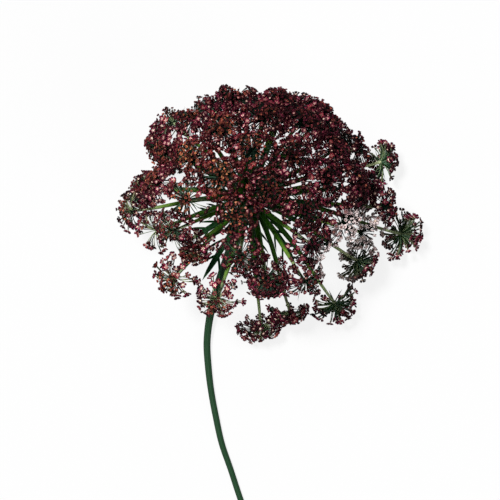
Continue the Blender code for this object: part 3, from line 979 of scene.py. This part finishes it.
def looks_of(florets, opening, age, warmth, painted_side_light, rng):
    """Numbers from 0 to 1 that a floret's petals carry: its shade, random and raised at the lower
    left of the head as painted side light, how much of a bud it is, how orange, and how pale its
    throat. The painted side light also makes pale throats, and orange buds on the rim, commoner
    there."""
    pale = rng.uniform(0, 1, florets) < 0.15 + 0.45 * age**2 + 0.25 * painted_side_light
    warmth = warmth + 0.2 * painted_side_light * (age == 1)
    return {
        "shade": rng.uniform(0, 1, florets) ** (1.5 - painted_side_light),
        "bud": np.clip(1.1 - opening + rng.uniform(-0.2, 0.1, florets), 0, 1),
        "warm": np.clip(warmth + rng.normal(0, 0.22, florets), 0, 1),
        "pale": np.where(pale, rng.uniform(0.55, 1.0, florets), rng.uniform(0, 0.2, florets)),
    }


faces_made = 0
for number, (tip, face, radius) in enumerate(zip(HUB + TIPS, FACES, RADII), 1):
    rng = np.random.default_rng(99 + number)
    name = f"umbellet_{number:02d}"
    across, up = (tip[:2] - HUB[:2]) / MM
    age, warmth, painted_side_light = age_of(number), warmth_of(across, up), painted_side_light_of(across, up)
    on_rim = age == 1
    face = unit(face + TURNED.get(number, (0, 0, 0)))

    # where the florets stand
    florets = florets_of(number, age, up)
    grown = floret_places(tip, face, radius, florets, *tuft_of(number, age), rng)
    kept = kept_of(seen_from_above(grown[0]), rng)
    place, start, axis, order = (each[kept] for each in grown)
    florets = len(place)

    # how thick the stalks are, how light they are painted (darker in the crown as painted shade
    # deep between the tufts, lighter at the lower left as painted side light), and how large and
    # open the florets
    light = (0.25 + 0.75 * age) * painted_side_light * rng.uniform(0.1, 1.5, florets)
    stout = 1 + 0.1 * on_rim
    if number in FROM_BEHIND:
        light, stout = rng.uniform(0.35, 0.65, florets), 1.6
    opening = np.clip((order - OPENS_FROM) / OPENS_OVER, 0, 1)
    size = (FLORET_RADIUS + OLD_FLORET_MORE * age) * (0.62 + 0.38 * opening)
    size *= rng.uniform(0.85, 1.15, florets)
    place[:, 2] = np.maximum(place[:, 2], PETAL_LIFT * size + PETAL_OVER_TABLE)
    tilt = np.radians(15 - 7 * opening + rng.uniform(-6, 6, florets))
    curl = np.radians(122 - 70 * opening + rng.uniform(-8, 8, florets))
    looks = looks_of(florets, opening, age, warmth, painted_side_light, rng)
    looks["faded"] = bleach_of(seen_from_above(place)) * rng.uniform(0.6, 1.0, florets)

    # the skins
    stalks = [
        ray_part(number - 1, (0.95 + 0.1 * age) * MM, rng.uniform(0.5, 0.8)),
        floret_stalk_part(tip, face, place, start, light, stout),
        bractlet_part(tip, face, radius, rng),
    ]
    is_open = opening > 0.3
    petals = []
    for some, form in ((is_open, LARGE_PETAL if on_rim else SMALL_PETAL), (~is_open, BUD_PETAL)):
        theirs = {key: each[some] for key, each in looks.items()}
        shape = (each[some] for each in (place, axis, size, tilt, curl))
        petals.append(petal_part(*shape, theirs, form, rng))
    throats = looks["pale"] * (0.4 + 0.6 * age)
    middles = middle_part(*(each[is_open] for each in (place, axis, size, throats)))
    made = (
        piece(f"{name}_stalks", stalks, STALK, "ray_green", name),
        piece(f"{name}_petals", petals, PETAL, "petal_wine"),
        piece(f"{name}_middles", [middles], MIDDLE, "floret_centre"),
    )
    faces_made += sum(len(one.data.polygons) for one in made)
print("faces in the umbellets:", faces_made)

# %% [markdown]
# ## Table, light and camera
#
# The flower lies on a plain white table. Far lamps light it evenly: the key from the upper left,
# and weak ones from the other sides. The world is white where the camera or a reflection sees it,
# and dim as a light. To a ray that bounces off a petal the table is a dull grey too, so that the
# depths of the head stay dark. The camera looks straight down, from far enough off that the head
# is hardly distorted.


# %% Table
TABLE_HALF = 4.0  # metres
PLAIN_WHITE, LIT_SHARE = 0.935, 0.09  # strength of the white, share of the lit surface


def seen_share(tree):
    """1 for rays from the camera, from reflections and through glass, otherwise 0."""
    rays = added(tree, "LightPath").outputs
    gloss = added(tree, "Math", {0: rays["Is Camera Ray"], 1: rays["Is Glossy Ray"]}).outputs[0]
    return added(tree, "Math", {0: gloss, 1: rays["Is Transmission Ray"]}).outputs[0]


def mixed(tree, share, first, second):
    """The first shader with a share of the second."""
    inputs = {"Fac": share, 1: first.outputs[0], 2: second.outputs[0]}
    return added(tree, "MixShader", inputs)


def table_finish():
    """What is seen: mostly plain white, and a share of a lit white surface that takes the shadow.
    What a bounce finds: dull grey."""
    finish = bpy.data.materials.new("table_white")
    finish.use_nodes = True
    tree = finish.node_tree
    tree.nodes.remove(tree.nodes["Principled BSDF"])
    lit = added(tree, "BsdfDiffuse", {"Color": (0.97, 0.97, 0.97)})
    bounced = added(tree, "BsdfDiffuse", {"Color": (0.05, 0.05, 0.05)})
    white = added(tree, "Emission", {"Strength": PLAIN_WHITE})
    seen = mixed(tree, LIT_SHARE, white, lit)
    both = mixed(tree, seen_share(tree), bounced, seen)
    fill(tree, tree.nodes["Material Output"], {"Surface": both.outputs[0]})
    return finish


mesh = bpy.data.meshes.new("table")
corners = [(x * TABLE_HALF, y * TABLE_HALF, 0) for x, y in ((-1, -1), (1, -1), (1, 1), (-1, 1))]
mesh.from_pydata(corners, [], [(0, 1, 2, 3)])
mesh.materials.append(table_finish())
placed("table", mesh)

# %% Light
DIM = 0.02  # strength of the world as light


def soft_world():
    """White where the camera or a reflection looks past the table, and a dim white as light."""
    world = bpy.data.worlds.new("soft_white")
    world.use_nodes = True
    tree = world.node_tree
    dim = fill(tree, tree.nodes["Background"], {"Color": (1, 1, 1), "Strength": DIM})
    white = added(tree, "Background", {"Color": (1, 1, 1)})
    both = mixed(tree, seen_share(tree), dim, white)
    fill(tree, tree.nodes["World Output"], {"Surface": both.outputs[0]})
    return world


bpy.context.scene.world = soft_world()


def lamp(name, source, strength, softness):
    """A far lamp that shines from the direction of source."""
    light = bpy.data.lights.new(name, "SUN")
    light.energy, light.angle = strength, softness
    x, y, z = source
    turned = (math.atan2(math.hypot(x, y), z), 0, math.atan2(y, x) + math.pi / 2)
    placed(name, light).rotation_euler = turned


lamp("key", (-0.3, 0.26, 1.0), 4.8, 0.2)
lamp("fill", (0.7, -0.6, 0.65), 0.8, 0.6)
lamp("left", (-1.0, -0.3, 0.35), 0.3, 0.8)
lamp("back", (0.2, 1.0, 0.35), 0.2, 0.8)

# %% Camera
SENSOR_MM, LENS_MM = 36, 126
camera_data = bpy.data.cameras.new("camera")
camera_data.sensor_width, camera_data.lens = SENSOR_MM, LENS_MM
camera = placed("camera", camera_data)
camera.location = EYE
bpy.context.scene.camera = camera
bpy.context.scene.view_settings.view_transform = "Standard"

# %% Measure and finish
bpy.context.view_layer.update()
print("least volume of a piece, in mm3:", round(min(map(min, volumes.values())) / MM**3, 2))
totals = {slot: round(sum(each) / (10 * MM) ** 3, 2) for slot, each in volumes.items()}
print("plant in cm3:", totals)
